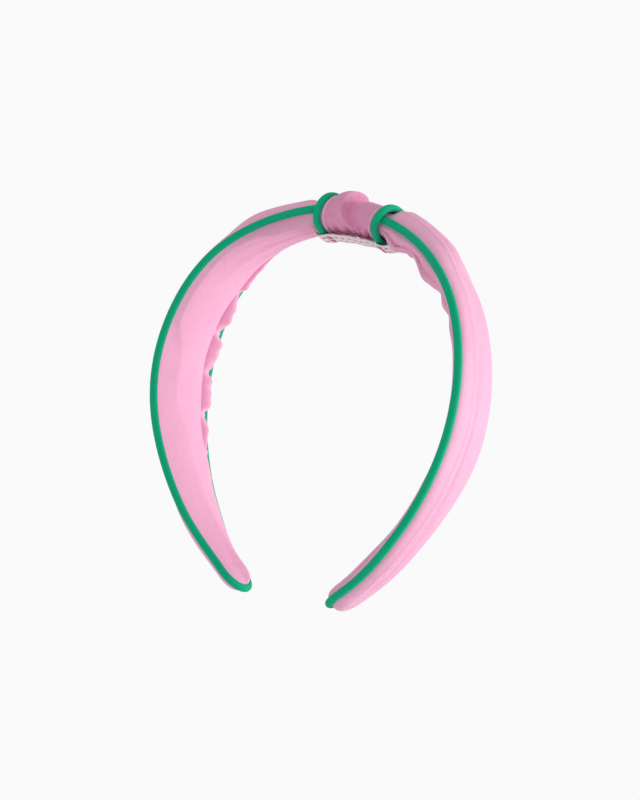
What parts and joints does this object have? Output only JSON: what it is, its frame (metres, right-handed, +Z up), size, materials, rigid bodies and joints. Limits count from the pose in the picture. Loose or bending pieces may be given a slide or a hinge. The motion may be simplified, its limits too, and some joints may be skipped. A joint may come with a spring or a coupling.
{
  "type": "knotted headband",
  "caption": "Wide headband: a springy strip in a loose piped cloth sleeve, gathered through a wrapped knot at the top, with arms that flex outwards to go over a head.",
  "frame": {"origin": "the centre of the crown arc, in the middle of the space that the head fills", "axes": "+Z up through the top of the band, +X towards the side that the knot sits on, so that the arms hang down at -X and +X, and +Y across the band's width, through the opening"},
  "size_m": [0.127, 0.045, 0.1543],
  "materials": {
    "sleeve_cloth": "fine plain weave with a slight satin sheen, light pink",
    "piping_cloth": "fine bias-cut weave, bright green",
    "filler_cord": "soft twisted cotton, off-white",
    "plastic_core": "smooth matt, white",
    "green_thread": "spun thread, green",
    "pink_thread": "spun thread, deep pink",
    "label_tape": "woven satin tape, white with a small pink pattern",
    "label_thread": "spun thread, bright pink"
  },
  "bodies": {
    "crown": {"core_crown": "plastic_core", "gathered_sleeve": "sleeve_cloth", "gathered_piping": "piping_cloth", "gathered_filler_cord": "filler_cord", "knot_wrap": "sleeve_cloth", "knot_piping_left": "piping_cloth", "knot_piping_right": "piping_cloth", "knot_filler_cord_left": "filler_cord", "knot_filler_cord_right": "filler_cord", "knot_closing_stitches": "pink_thread", "label": "label_tape", "label_stitches": "label_thread"},
    "left_arm": {"left_core": "plastic_core", "left_outer_panel": "sleeve_cloth", "left_inner_panel": "sleeve_cloth", "left_piping": "piping_cloth", "left_filler_cord": "filler_cord", "left_seam_thread": "green_thread"},
    "right_arm": {"right_core": "plastic_core", "right_outer_panel": "sleeve_cloth", "right_inner_panel": "sleeve_cloth", "right_piping": "piping_cloth", "right_filler_cord": "filler_cord", "right_seam_thread": "green_thread"}
  },
  "joints": [
    {"name": "left_arm_flex", "type": "hinge", "parent": "crown", "child": "left_arm", "pos_m": [-0.00797, 0, 0.063], "axis": [0, 1, 0], "range_deg": [-4, 16], "stiffness_Nm_per_rad": 0.8},
    {"name": "right_arm_flex", "type": "hinge", "parent": "crown", "child": "right_arm", "pos_m": [0.02483, 0, 0.05844], "axis": [0, -1, 0], "range_deg": [-4, 16], "stiffness_Nm_per_rad": 0.8}
  ]
}
